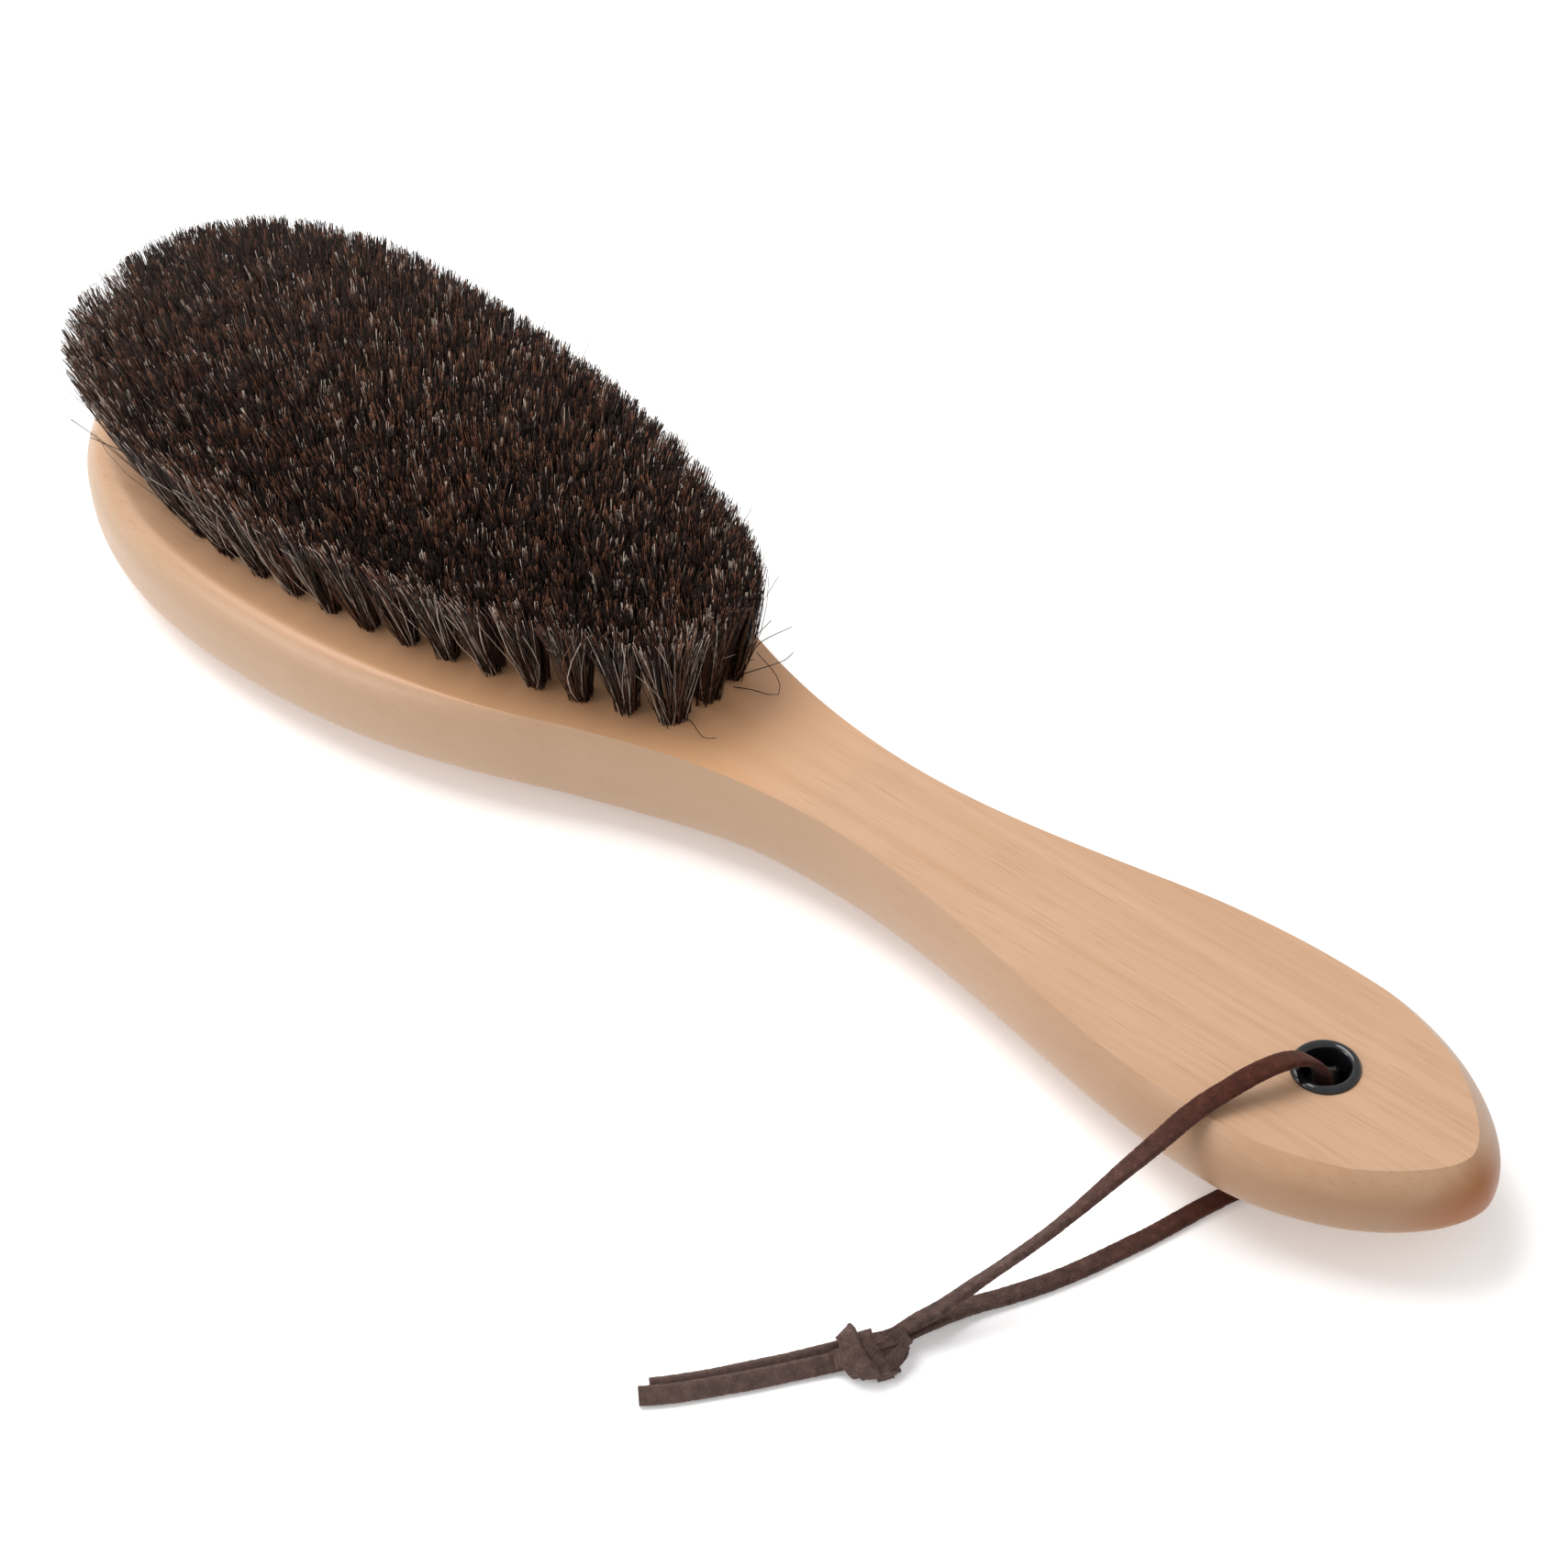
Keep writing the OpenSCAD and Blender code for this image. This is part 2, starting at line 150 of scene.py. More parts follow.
class Nodes:
    """Short names for building a material's node tree."""

    def __init__(self, name):
        self.material = bpy.data.materials.new(name)
        self.material.use_nodes = True
        self.tree = self.material.node_tree
        self.shader = self.tree.nodes["Principled BSDF"]

    def add(self, kind, **values):
        node = self.tree.nodes.new(kind)
        for key, value in values.items():
            if key in node.inputs.keys():
                node.inputs[key].default_value = value
            else:
                setattr(node, key, value)
        return node

    def link(self, out, into):
        self.tree.links.new(out, into)

    def coords(self, scale):
        """The object's own coordinates, in metres, stretched by the scale."""
        coord = self.add("ShaderNodeTexCoord")
        mapping = self.add("ShaderNodeMapping")
        mapping.inputs["Scale"].default_value = scale
        self.link(coord.outputs["Object"], mapping.inputs["Vector"])
        return mapping.outputs["Vector"]

    def noise(self, vector, scale, detail=4.0, rough=0.55, distortion=0.0):
        node = self.add(
            "ShaderNodeTexNoise", Scale=scale, Detail=detail, Roughness=rough, Distortion=distortion,
        )
        self.link(vector, node.inputs["Vector"])
        return node.outputs["Fac"]

    def ramp(self, factor, *stops):
        node = self.add("ShaderNodeValToRGB")
        while len(node.color_ramp.elements) < len(stops):
            node.color_ramp.elements.new(0.5)
        for element, (position, colour) in zip(node.color_ramp.elements, stops):
            element.position = position
            element.color = (*colour, 1)
        self.link(factor, node.inputs["Fac"])
        return node.outputs["Color"]

    def grey(self, factor, low_at, high_at, low=0.0, high=1.0):
        """A grey that runs from low to high as the factor runs from low_at to high_at."""
        node = self.add("ShaderNodeMapRange", clamp=True)
        names = ("From Min", "From Max", "To Min", "To Max")
        for name, value in zip(names, (low_at, high_at, low, high)):
            node.inputs[name].default_value = value
        self.link(factor, node.inputs["Value"])
        return node.outputs["Result"]

    def mix(self, a, b, factor):
        node = self.add("ShaderNodeMix", data_type="RGBA", blend_type="MIX")
        for value, socket in ((factor, node.inputs[0]), (a, node.inputs[6]), (b, node.inputs[7])):
            if isinstance(value, bpy.types.NodeSocket):
                self.link(value, socket)
            elif isinstance(value, tuple):
                socket.default_value = (*value, 1)
            else:
                socket.default_value = value
        return node.outputs[2]

    def maths(self, operation, a, b=0.0):
        node = self.add("ShaderNodeMath", operation=operation)
        for value, socket in ((a, node.inputs[0]), (b, node.inputs[1])):
            if isinstance(value, bpy.types.NodeSocket):
                self.link(value, socket)
            else:
                socket.default_value = value
        return node.outputs[0]

    def bump(self, height, strength, distance):
        node = self.add("ShaderNodeBump", Strength=strength, Distance=distance)
        self.link(height, node.inputs["Height"])
        self.link(node.outputs["Normal"], self.shader.inputs["Normal"])

    def set(self, **values):
        for key, value in values.items():
            socket = self.shader.inputs[key.replace("_", " ")]
            if isinstance(value, bpy.types.NodeSocket):
                self.link(value, socket)
            else:
                socket.default_value = (*value, 1) if isinstance(value, tuple) else value


# ---------------------------------------------------------------- camera
# Angles in degrees, place in metres, sensor and lens in millimetres
CAMERA_AZIMUTH, CAMERA_ELEVATION, CAMERA_ROLL = 42.69, 44.23, -1.6
CAMERA_AT = (0.3725, -0.3092, 0.4212)
CAMERA_SENSOR, CAMERA_LENS = 36, 90.99


def camera_axes():
    """Right, up and ahead of the camera in the world."""
    azimuth, elevation = math.radians(CAMERA_AZIMUTH), math.radians(CAMERA_ELEVATION)
    roll = math.radians(CAMERA_ROLL)
    ahead = Vector((
        -math.sin(azimuth) * math.cos(elevation),
        math.cos(azimuth) * math.cos(elevation),
        -math.sin(elevation),
    ))
    level = ahead.cross(Vector((0, 0, 1))).normalized()
    top = level.cross(ahead)
    right = math.cos(roll) * level + math.sin(roll) * top
    up = -math.sin(roll) * level + math.cos(roll) * top
    return right, up, ahead


def make_camera():
    right, up, ahead = camera_axes()
    turn = Matrix((right, up, -ahead)).transposed().to_4x4()
    camera = bpy.data.objects.new("camera", bpy.data.cameras.new("camera"))
    camera.data.sensor_width = CAMERA_SENSOR
    camera.data.lens = CAMERA_LENS
    camera.data.clip_start = 0.01
    camera.matrix_world = Matrix.Translation(CAMERA_AT) @ turn
    bpy.context.scene.collection.objects.link(camera)
    bpy.context.scene.camera = camera


make_camera()


# ---------------------------------------------------------------- suede lace
def suede_material():
    """Dark suede: redder by the eyelet, greyer at the knot and a little paler along the tails."""
    n = Nodes("suede")
    coarse = n.noise(n.coords((1, 1, 1)), 700, 6, 0.75)
    nap = n.noise(n.coords((1, 1, 1)), 4200, 3, 0.7)
    red = n.ramp(
        coarse,
        (0.3, (0.02, 0.0045, 0.0022)), (0.55, (0.055, 0.0125, 0.006)), (0.8, (0.11, 0.03, 0.016)),
    )
    worn = n.ramp(
        coarse,
        (0.3, (0.024, 0.013, 0.0105)), (0.55, (0.074, 0.042, 0.035)), (0.8, (0.17, 0.1, 0.085)),
    )
    place = n.add("ShaderNodeSeparateXYZ")
    coord = n.add("ShaderNodeTexCoord")
    n.link(coord.outputs["Object"], place.inputs[0])
    eyeletward = n.grey(place.outputs[1], -0.046, -0.014)
    base = n.mix(worn, red, eyeletward)
    tailward = n.grey(place.outputs[1], -0.076, -0.066, 0.2, 0)
    base = n.mix(base, (0.17, 0.115, 0.1), tailward)
    brushed = n.mix((0.2, 0.135, 0.112), (0.13, 0.045, 0.024), eyeletward)
    colour = n.mix(base, brushed, n.grey(nap, 0.52, 0.8, 0, 0.55))
    n.set(Base_Color=colour, Roughness=n.grey(nap, 0.3, 0.7, 0.85, 1.0), Specular_IOR_Level=0.15)
    n.set(Sheen_Weight=0.16, Sheen_Roughness=0.6, Sheen_Tint=(0.65, 0.48, 0.42))
    n.bump(n.maths("ADD", coarse, nap), 0.7, 0.00018)
    return n.material


SUEDE = suede_material()

# The section's corners are rounder the nearer their powers come to 1. The surface is frayed
# unevenly: more along the edges than in the middle, and less through the thickness.
SECTION_POWERS = (0.45, 0.55)
FRAY, FRAY_MIDDLE, FRAY_THROUGH = 0.05, 0.4, 0.5
ROUTE_STEPS, RING_SPACING, LEAST_HEIGHT = 12, 0.35, 0.02
PATH_EVERY = 4


def strip_section(count=20):
    """Rounded outline of the lace across its length, in shares of its width and thickness."""
    out = []
    for k in range(count):
        a = 2 * math.pi * (k + 0.5) / count
        c, s = math.cos(a), math.sin(a)
        out.append((
            0.5 * math.copysign(abs(c) ** SECTION_POWERS[0], c),
            0.5 * math.copysign(abs(s) ** SECTION_POWERS[1], s),
        ))
    return out


def strip_points(path, widths, thickness, ways, seed):
    """Rings of points round a flat strip that follows the path; ways say where its width points."""
    local = np.random.RandomState(seed)
    section = strip_section()
    rings = []
    for i, centre in enumerate(path):
        along = path[min(i + 1, len(path) - 1)] - path[max(i - 1, 0)]
        along /= np.linalg.norm(along)
        across = ways[i] - along * along.dot(ways[i])
        across /= np.linalg.norm(across)
        out = np.cross(along, across)
        rings.append([
            centre
            + across * (s * widths[i] + local.uniform(-FRAY, FRAY) * (FRAY_MIDDLE + abs(s)))
            + out * (t * thickness + local.uniform(-FRAY, FRAY) * FRAY_THROUGH)
            for s, t in section
        ])
    return np.array(rings)


def strip_faces(rings, sides, first=0):
    """Faces round a strip of rings, with both ends closed."""
    faces = [tuple(first + k for k in range(sides - 1, -1, -1))]
    for i in range(rings - 1):
        for k in range(sides):
            a, b = first + i * sides + k, first + i * sides + (k + 1) % sides
            faces.append((a, b, b + sides, a + sides))
    faces.append(tuple(first + (rings - 1) * sides + k for k in range(sides)))
    return faces


def resampled(points, spacing):
    """The same curve with its points evenly spaced."""
    steps = np.linalg.norm(np.diff(points, axis=0), axis=1)
    at = np.concatenate([[0], np.cumsum(steps)])
    wanted = np.linspace(0, at[-1], max(2, int(round(at[-1] / spacing)) + 1))
    return np.stack([np.interp(wanted, at, points[:, k]) for k in range(3)], axis=1)


def between(share, stops):
    """Value at a share of the length, from (share, value) stops."""
    at = [stop[0] for stop in stops]
    values = np.array([stop[1] for stop in stops], float)
    if values.ndim == 1:
        return float(np.interp(share, at, values))
    return np.array([np.interp(share, at, values[:, k]) for k in range(values.shape[1])])


def lace_piece(name, node, route, seed, width_stops, way_stops):
    """One length of the lace along its route, with the points of its path in metres."""
    path = resampled(smooth_route(route, ROUTE_STEPS), RING_SPACING)
    shares = np.linspace(0, 1, len(path))
    widths = [between(share, width_stops) for share in shares]
    ways = [between(share, way_stops) for share in shares]
    rings = strip_points(path, widths, LACE_THICKNESS, ways, seed)
    rings[:, :, 2] = np.maximum(rings[:, :, 2], LEAST_HEIGHT)
    sides = rings.shape[1]
    mesh = mesh_from(name, rings.reshape(-1, 3), strip_faces(len(rings), sides))
    piece = new_object(name, mesh, SUEDE)
    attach(piece, "root")
    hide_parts(node)
    return piece, [tuple(p * MM) for p in path[::PATH_EVERY]] + [tuple(path[-1] * MM)]


front_leg, front_path = lace_piece(
    "suede_front_leg", "lace_front_leg", FRONT_ROUTE, 11,
    [
        (0, STRETCHED_WIDTH), (0.42, STRETCHED_WIDTH),
        (0.6, LACE_WIDTH), (0.95, LACE_WIDTH), (1, 0.6 * LACE_WIDTH),
    ],
    [(0, FLAT_WAY), (0.4, FLAT_WAY), (0.66, EDGE_WAY), (0.8, EDGE_WAY), (1, HALF_WAY)],
)
back_leg, back_path = lace_piece(
    "suede_back_leg", "lace_back_leg", BACK_ROUTE, 12,
    [(0, LACE_WIDTH), (1, LACE_WIDTH)], [(0, FLAT_WAY), (1, FLAT_WAY)],
)
lower_tail, lower_path = lace_piece(
    "suede_lower_tail", "lace_tail_lower", LOWER_TAIL_ROUTE, 13,
    [(0, LACE_WIDTH), (1, LACE_WIDTH)], [(0, TAIL_WAY), (1, TAIL_WAY)],
)
upper_tail, upper_path = lace_piece(
    "suede_upper_tail", "lace_tail_upper", UPPER_TAIL_ROUTE, 14,
    [(0, 1.06 * LACE_WIDTH), (0.4, LACE_WIDTH), (1, LACE_WIDTH)], [(0, TAIL_WAY), (1, TAIL_WAY)],
)

# Overhand knot tied in both strands, as bands of lace wound round its middle. Each band has a
# width and route points, measured to the camera's right, to its up and towards the camera.
KNOT_AT = np.array((161.2, -66.1, 2.9))
KNOT_BANDS = [
    (2.7, [(4.4, 2.0, -1.0), (3.4, 1.5, 0.4), (1.2, 0.3, 1.6), (-1.2, -1.4, 1.8), (-3.0, -2.3, 0.6),
           (-3.4, -1.6, -1.2)]),
    (2.5, [(4.2, 1.2, -1.0), (3.7, 0.0, 0.6), (2.2, -1.3, 1.7), (0.4, -2.3, 1.3), (-1.8, -2.6, 0.4),
           (-2.6, -1.6, -1.2)]),
    (2.5, [(2.6, -2.8, -1.2), (2.4, -2.8, 0.2), (1.2, -2.3, 1.3), (-0.4, -1.6, 1.6), (-2, -1, 1.2)]),
    (2.6, [(3.6, 1.9, -1.2), (2.4, 1.8, 0.5), (0.8, 1.45, 1.1), (-1.1, 1.3, 0.6), (-2.4, 1.2, -0.8)]),
    (2.3, [(-1.1, 2.3, -1.0), (-1.15, 1.65, 0.9), (-0.5, 0.7, 2.0), (0.7, -1.0, 2.3), (1.5, -2.5, 1.4),
           (1.8, -3.4, -0.4)]),
    (2.8, [(-2.8, 0.6, -0.6), (-3.6, 2.5, 0.2), (-3.2, 2.2, 1.6), (-2.7, 0.6, 2.6), (-1.7, -1.0, 3.0),
           (-0.6, -2.3, 2.3), (0.1, -3.1, 0.6), (0.2, -2.4, -1.4)]),
    (2.5, [(-4.8, -1.1, -0.3), (-4.1, -0.6, 0.6), (-3.2, -0.7, 1.6), (-2.3, -2.0, 1.9), (-1.4, -2.8, 0.8),
           (-1.2, -2.4, -1)]),
]

# A band's flat side faces out of the knot and a little towards the camera. It has lengthwise
# creases and an uneven surface.
KNOT_OUTWARD, KNOT_NEARWARD = (0.6, 1, 1), (0, 0, 0.8)
CREASE_DEPTH, CREASES = 0.16, 11
KNOT_FRAY = 0.04
BAND_STEPS, BAND_SPACING, BAND_SEED, KNOT_LEAST_HEIGHT = 14, 0.28, 21, 0.05


def knot_piece():
    """The knot, with its bands in one mesh."""
    right, up, ahead = (np.array(axis) for axis in camera_axes())
    section = strip_section()
    points, faces = [], []
    for number, (width, route) in enumerate(KNOT_BANDS):
        turns = resampled(smooth_route(route, BAND_STEPS), BAND_SPACING)
        local = np.random.RandomState(BAND_SEED + number)
        rings = []
        for i, at in enumerate(turns):
            along = turns[min(i + 1, len(turns) - 1)] - turns[max(i - 1, 0)]
            along /= np.linalg.norm(along)
            out = at * KNOT_OUTWARD + KNOT_NEARWARD
            out -= along * out.dot(along)
            out /= np.linalg.norm(out)
            across = np.cross(out, along)
            rings.append([
                at + across * s * width
                + out * (t + CREASE_DEPTH * math.cos(CREASES * s)) * LACE_THICKNESS
                + local.uniform(-KNOT_FRAY, KNOT_FRAY, 3)
                for s, t in section
            ])
        faces += strip_faces(len(rings), len(section), len(points))
        points += [p for ring in rings for p in ring]
    points = np.array(points)
    placed = KNOT_AT + np.outer(points[:, 0], right) + np.outer(points[:, 1], up)
    placed -= np.outer(points[:, 2], ahead)
    placed[:, 2] = np.maximum(placed[:, 2], KNOT_LEAST_HEIGHT)
    piece = new_object("suede_knot", mesh_from("suede_knot", placed, faces), SUEDE)
    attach(piece, "root")
    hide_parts("lace_knot")
    return piece


knot = knot_piece()


# ---------------------------------------------------------------- wooden body
def blend(x, a, b):
    """Smooth step from 0 at a to 1 at b."""
    t = min(1.0, max(0.0, (x - a) / (b - a)))
    return t * t * (3 - 2 * t)


def curve(x, a, b, p, q, m, n):
    """Smooth curve from p at a to q at b, with slopes m and n."""
    w = b - a
    t = (x - a) / w
    return (
        p * (2 * t ** 3 - 3 * t ** 2 + 1) + q * (3 * t ** 2 - 2 * t ** 3)
        + w * m * (t ** 3 - 2 * t ** 2 + t) + w * n * (t ** 3 - t ** 2)
    )


def round_end(t, power):
    """1 at t = 0, rounding off to 0 at t = 1."""
    return max(0.0, 1 - t ** power) ** (1 / power)


def half_width(x):
    """Half the body's width at x: head, shoulder, neck, handle and rounded tip."""
    if x < 0:
        return HEAD_HALF * round_end(min(1.0, -x / HEAD_REACH), HEAD_ROUNDNESS)
    if x < SHOULDER_X:
        return curve(x, 0, SHOULDER_X, HEAD_HALF, SHOULDER_HALF, 0, SHOULDER_SLOPE)
    if x < NECK_X:
        return curve(x, SHOULDER_X, NECK_X, SHOULDER_HALF, NECK_HALF, SHOULDER_SLOPE, 0)
    if x < HANDLE_X:
        return curve(x, NECK_X, HANDLE_X, NECK_HALF, HANDLE_HALF, 0, 0)
    return HANDLE_HALF * round_end(min(1.0, (x - HANDLE_X) / (TIP_X - HANDLE_X)), TIP_ROUNDNESS)


def edge_inset(x):
    """How far in from the outline the flat face begins."""
    return (
        HEAD_EDGE + (NECK_EDGE - HEAD_EDGE) * blend(x, SOFT_EDGE_END, CRISP_EDGE_START)
        + TIP_EDGE_EXTRA * blend(x, TIP_EDGE_START, TIP_EDGE_END)
    )


def back_roundness(x):
    """Power of the side's curve: the lower, the rounder."""
    return HEAD_BACK + (HANDLE_BACK - HEAD_BACK) * blend(x, 0, SHOULDER_X)


def depth(x):
    """Depth of the body below its face, before the flat of the back skims it."""
    full = FACE_Z + LAND_SKIM
    return (
        full + (NECK_THICKNESS - full) * blend(x, TAPER_START, TAPER_END)
        + (TIP_THICKNESS - NECK_THICKNESS) * blend(x, RISE_START, RISE_END)
    )


def body_side(head_steps=44, middle_steps=120, tip_steps=36):
    """Places along the body, closer together round its two ends."""
    xs = [
        -HEAD_REACH * math.cos(math.pi / 2 * i / head_steps) ** (2 / HEAD_ROUNDNESS)
        for i in range(head_steps)
    ]
    xs += [HANDLE_X * i / middle_steps for i in range(middle_steps)]
    xs += [
        HANDLE_X + (TIP_X - HANDLE_X) * math.sin(math.pi / 2 * i / tip_steps) ** (2 / TIP_ROUNDNESS)
        for i in range(tip_steps + 1)
    ]
    return xs


# Rings on the flat face, as shares of the edge's inset; steps and last angle of the turned rings
FACE_RINGS = (2.2, 1.12)
EDGE_STEPS, SIDE_STEPS, SIDE_END_ANGLE = 16, 24, 87


def body_mesh():
    """Rings of the outline from the flat face, over the rounded edge and down to the flat of the back."""
    xs = body_side()
    outline = np.array(
        [(x, half_width(x)) for x in xs] + [(x, -half_width(x)) for x in xs[-2:0:-1]]
    )
    spine = np.clip(outline[:, 0], HEAD_CENTRE, TIP_CENTRE)
    towards = outline - np.stack([spine, np.zeros_like(spine)], axis=1)
    reach = np.linalg.norm(towards, axis=1)
    inset = np.array([edge_inset(x) for x in spine])
    power = np.array([2 / back_roundness(x) for x in spine])
    crisp = np.array([blend(x, SOFT_EDGE_END, CRISP_EDGE_START) for x in spine])

    def ring(distance, share, z):
        share = np.maximum(0, 1 - distance / reach) * share
        xy = np.stack([spine, np.zeros_like(spine)], axis=1) + towards * share[:, None]
        return np.column_stack([xy, z])

    top = np.full_like(spine, FACE_Z)
    rings = [ring(inset * extra, np.ones_like(spine), top) for extra in FACE_RINGS]
    for turn in np.radians(np.linspace(0, 90, EDGE_STEPS)):
        left = (1 - math.sin(turn)) * (1 - crisp) + math.cos(turn) ** 2 * crisp
        level = np.full_like(spine, FACE_Z - EDGE_DROP * (1 - math.cos(turn)))
        rings.append(ring(inset * left, np.ones_like(spine), level))
    for turn in np.radians(np.linspace(0, SIDE_END_ANGLE, SIDE_STEPS)[1:]):
        row = ring(0 * inset, math.cos(turn) ** power, 0 * spine)
        deep = np.array([depth(x) for x in row[:, 0]])
        row[:, 2] = np.maximum(0, FACE_Z - EDGE_DROP - (deep - EDGE_DROP) * math.sin(turn) ** power)
        rings.append(row)
    count = len(outline)
    faces = []
    for j in range(len(rings) - 1):
        for i in range(count):
            a, b = j * count + i, j * count + (i + 1) % count
            faces.append((a, a + count, b + count, b))
    for first, up in ((0, True), ((len(rings) - 1) * count, False)):
        for i in range(count // 2):
            across = [first + (count - i - 1) % count, first + (count - i) % count]
            face = list(dict.fromkeys([first + i, first + i + 1] + across))
            faces.append(tuple(face if up else face[::-1]))
    return mesh_from("maple_body", np.concatenate(rings), faces)


def drill(obj, cutters):
    """Cuts upright round holes (centre, radius, half length, sides) out of the object."""
    for centre, radius, reach, sides in cutters:
        mesh = bpy.data.meshes.new("cutter")
        bm = bmesh.new()
        bmesh.ops.create_cone(
            bm, cap_ends=True, segments=sides,
            radius1=radius * MM, radius2=radius * MM, depth=2 * reach * MM,
        )
        bm.to_mesh(mesh)
        bm.free()
        cutter = bpy.data.objects.new("cutter", mesh)
        bpy.context.scene.collection.objects.link(cutter)
        cutter.matrix_world = Matrix.Translation(Vector(centre) * MM)
        bpy.context.view_layer.update()
        cut = obj.modifiers.new("cut", "BOOLEAN")
        cut.object = cutter
        cut.operation = "DIFFERENCE"
        cut.solver = "EXACT"
        graph = bpy.context.evaluated_depsgraph_get()
        result = bpy.data.meshes.new_from_object(obj.evaluated_get(graph), depsgraph=graph)
        obj.modifiers.clear()
        obj.data = result
        bpy.data.objects.remove(cutter)


def maple_material():
    """Oiled maple with grain lines, flecks and deeper end grain at the tip, with painted shade on the
    sides and painted light on the face beside the bristles.
    """
    n = Nodes("maple")
    broad = n.noise(n.coords((3, 60, 20)), 1.0, 2, 0.5, 0.2)
    lines = n.noise(n.coords((5, 520, 260)), 1.0, 4, 0.6, 0.08)
    flecks = n.noise(n.coords((90, 2600, 2600)), 1.0, 2, 0.5)
    mottle = n.noise(n.coords((1, 1, 1)), 60, 4, 0.6)
    base = n.ramp(
        lines,
        (0.3, (0.468, 0.274, 0.158)), (0.5, (0.505, 0.305, 0.182)), (0.72, (0.53, 0.33, 0.202)),
    )
    colour = n.mix(base, (0.43, 0.24, 0.132), n.grey(broad, 0.5, 0.8, 0, 0.3))
    colour = n.mix(colour, (0.57, 0.38, 0.25), n.grey(mottle, 0.5, 0.8, 0, 0.25))
    colour = n.mix(colour, (0.3, 0.155, 0.08), n.grey(flecks, 0.56, 0.8, 0, 0.5))
    coord = n.add("ShaderNodeTexCoord")
    normal = n.add("ShaderNodeSeparateXYZ")
    n.link(coord.outputs["Normal"], normal.inputs[0])
    place = n.add("ShaderNodeSeparateXYZ")
    n.link(coord.outputs["Object"], place.inputs[0])
    along = place.outputs[0]
    sideways = n.grey(n.maths("ABSOLUTE", normal.outputs[2]), 0.35, 0.9, 1, 0)
    # Painted shade: the sides darken towards the handle's tip, where less light falls.
    tip_side_painted_shade = n.maths("MULTIPLY", n.grey(along, 0.085, 0.195, 0, 1), sideways)
    colour = n.mix(colour, (0.28, 0.152, 0.075), n.maths("MULTIPLY", tip_side_painted_shade, 0.85))
    # Painted shade: the sides from the head to the neck are darker and greyer than the lit face.
    head_side_painted_shade = n.maths("MULTIPLY", sideways, n.grey(along, 0.1, 0.16, 0.7, 0))
    colour = n.mix(colour, (0.322, 0.208, 0.123), head_side_painted_shade)
    # Painted light: the face beside and between the bristles is lifted lighter and warmer against the
    # bristles' shadow.
    upward = n.grey(normal.outputs[2], 0.75, 0.95)
    neckward = n.grey(along, -0.035, 0.045, 0.05, 1)
    bristle_painted_light = n.maths("MULTIPLY", neckward, n.grey(along, 0.078, 0.1, 1, 0))
    colour = n.mix(colour, (0.64, 0.348, 0.182), n.maths("MULTIPLY", upward, bristle_painted_light))
    end_grain = n.grey(normal.outputs[0], 0.6, 0.86, 0, 0.95)
    end_grain = n.maths("MULTIPLY", end_grain, n.grey(along, 0.19, 0.205, 0, 1))
    colour = n.mix(colour, (0.285, 0.085, 0.012), end_grain)
    n.set(Base_Color=colour, Roughness=n.grey(lines, 0.3, 0.7, 0.36, 0.46), Specular_IOR_Level=0.4)
    n.set(Coat_Weight=0.2, Coat_Roughness=0.3)
    n.bump(n.maths("ADD", lines, flecks), 0.1, 0.00006)
    return n.material


# The back eyelet sits in a wide shallow seat. Edges sharper than the angle are not smoothed.
SEAT_REACH, SEAT_ROOM, HOLE_SIDES, SHARP_ANGLE = 5, 0.3, 48, 24

MAPLE = maple_material()
body = new_object("maple_body", body_mesh(), MAPLE)
drill(body, [
    ((EYELET_X, 0, FACE_Z / 2), BORE_R + EYELET_WALL, FACE_Z, HOLE_SIDES),
    ((EYELET_X, 0, BACK_SEAT_Z - SEAT_REACH), FLANGE_R + SEAT_ROOM, SEAT_REACH, HOLE_SIDES),
])
body.data.set_sharp_from_angle(angle=math.radians(SHARP_ANGLE))
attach(body, "root")
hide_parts("wood_body")


# ---------------------------------------------------------------- bristles
def row_x(k):
    """Where row k crosses the brush's middle plane."""
    return FIRST_ROW_X + k * ROW_PITCH


def field_half(x):
    """Half the width of the tuft field at x."""
    if x < 0:
        return FIELD_HALF * round_end(-x / FIELD_REACH, FIELD_ROUNDNESS)
    if x < SHOULDER_X:
        return curve(x, 0, SHOULDER_X, FIELD_HALF, FIELD_SHOULDER_HALF, 0, FIELD_SHOULDER_SLOPE)
    return curve(x, SHOULDER_X, FIELD_END_X, FIELD_SHOULDER_HALF, FIELD_END_HALF, FIELD_SHOULDER_SLOPE, 0)


def row_places(k):
    """Places of the tufts of one row, evenly spaced across the field."""
    x = row_x(k)
    half = field_half(x)
    gaps = int(2 * half // TUFT_PITCH)
    return [(x, half * (2 * i / gaps - 1)) for i in range(gaps + 1)]


def lean(x, y):
    """How far a tuft's top leans out from its root."""
    if x < LEAN_START_X:
        return -HEAD_LEAN * ((LEAN_START_X - x) / HEAD_LEAN_SPAN) ** HEAD_LEAN_POWER, y * SIDE_LEAN
    return (x - LEAN_START_X) * NECK_LEAN, y * SIDE_LEAN


HAIR_SHADE = (0.003, 0.002, 0.0018)


def hair_material(name, dark, light, rough):
    """Glossy hair, with painted shade below the trimmed tips and towards the head's far end."""
    n = Nodes(name)
    streak = n.noise(n.coords((1, 1, 0.15)), 900, 2, 0.6)
    place = n.add("ShaderNodeSeparateXYZ")
    coord = n.add("ShaderNodeTexCoord")
    n.link(coord.outputs["Object"], place.inputs[0])
    colour = n.ramp(streak, (0.3, dark), (0.7, light))
    # Painted shade: near-black mixed in below the trimmed tips and towards the head's far end.
    shaded = n.mix(colour, HAIR_SHADE, n.grey(place.outputs[2], 0.036, 0.0395, 0.34, 0))
    shaded = n.mix(shaded, HAIR_SHADE, n.grey(place.outputs[0], -0.05, 0.01, 0.45, 0))
    n.set(Base_Color=shaded, Roughness=rough, Specular_IOR_Level=0.25, Specular_Tint=(0.9, 0.7, 0.6))
    return n.material


